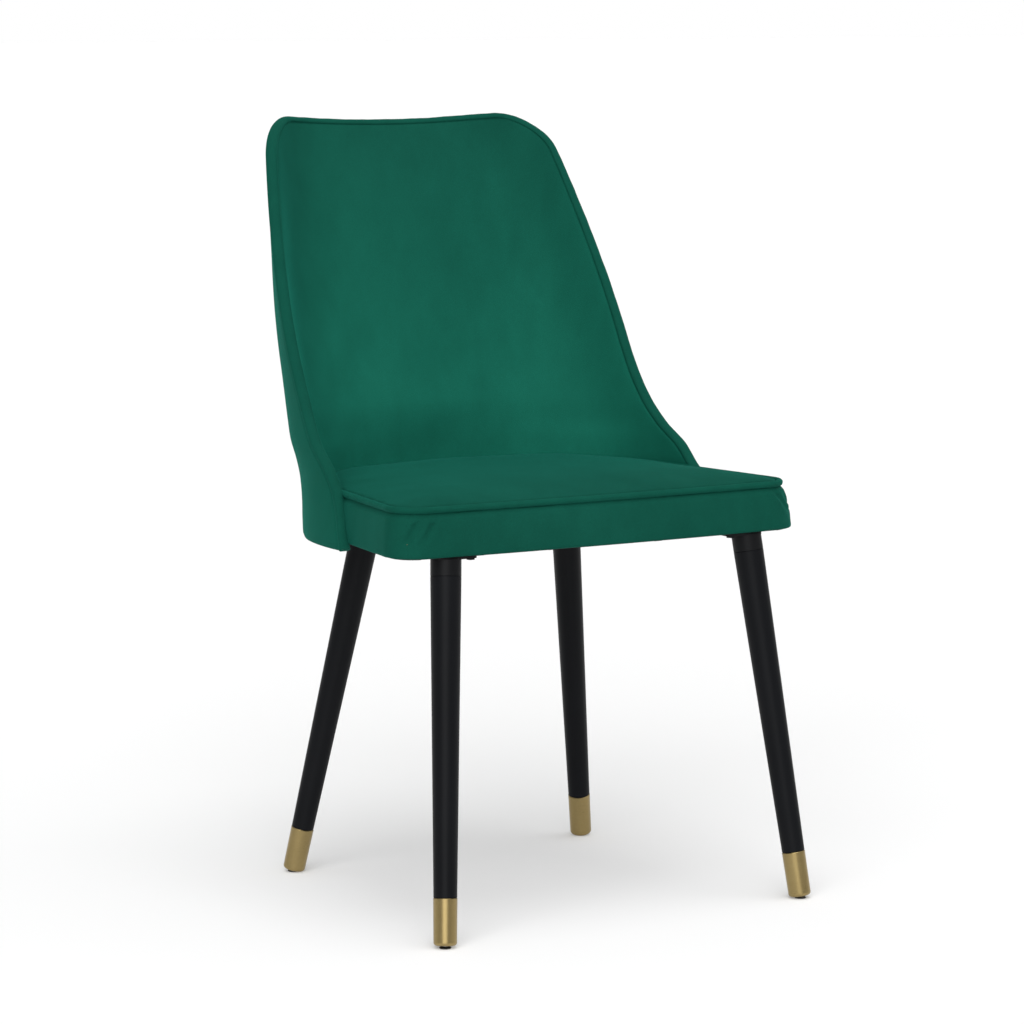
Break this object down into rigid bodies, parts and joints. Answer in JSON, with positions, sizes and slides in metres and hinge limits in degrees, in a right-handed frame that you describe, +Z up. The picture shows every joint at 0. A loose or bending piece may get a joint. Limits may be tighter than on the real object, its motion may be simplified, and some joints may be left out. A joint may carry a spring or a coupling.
{
  "type": "dining chair",
  "caption": "Upholstered dining chair with a curved winged back, a boxed velvet seat and splayed black legs ending in satin brass ferrules.",
  "frame": {"origin": "on the floor, in the middle of the chair's outline seen from above", "axes": "+Z up, +Y towards the back of the chair so that the sitter faces -Y, +X to the right of someone who looks along +Y"},
  "size_m": [0.5198, 0.558, 0.87],
  "materials": {
    "velvet": "short-pile green velvet, soft sheen",
    "velvet_piping": "the same velvet, rolled over a cord",
    "black_beech": "turned beech, satin black lacquer",
    "black_steel": "satin black powder coat",
    "satin_brass": "satin brass, finely brushed round",
    "nylon": "matt nylon glide",
    "birch_ply": "raw moulded birch plywood",
    "foam": "open-cell upholstery foam",
    "wadding": "polyester wadding",
    "dust_cloth": "black spun-bond lining cloth",
    "zinc_steel": "zinc-plated steel"
  },
  "bodies": {
    "root": {"seat_base": "birch_ply", "seat_foam": "foam", "seat_top_cover": "velvet", "seat_boxing": "velvet", "seat_piping": "velvet_piping", "dust_cover": "dust_cloth", "dust_cover_staples": "zinc_steel", "back_shell": "birch_ply", "back_foam": "foam", "back_wadding": "wadding", "inside_back_cover": "velvet", "outside_back_cover": "velvet", "back_edge_roll": "velvet_piping", "back_brackets": "zinc_steel", "back_bracket_screws": "zinc_steel", "socket_bolts": "zinc_steel", "socket_tee_nuts": "zinc_steel", "leg_screws": "zinc_steel", "leg_front_left": "black_beech", "socket_front_left": "black_steel", "ferrule_front_left": "satin_brass", "glide_front_left": "nylon", "leg_front_right": "black_beech", "socket_front_right": "black_steel", "ferrule_front_right": "satin_brass", "glide_front_right": "nylon", "leg_rear_left": "black_beech", "socket_rear_left": "black_steel", "ferrule_rear_left": "satin_brass", "glide_rear_left": "nylon", "leg_rear_right": "black_beech", "socket_rear_right": "black_steel", "ferrule_rear_right": "satin_brass", "glide_rear_right": "nylon", "glide_nails": "zinc_steel"}
  },
  "joints": []
}
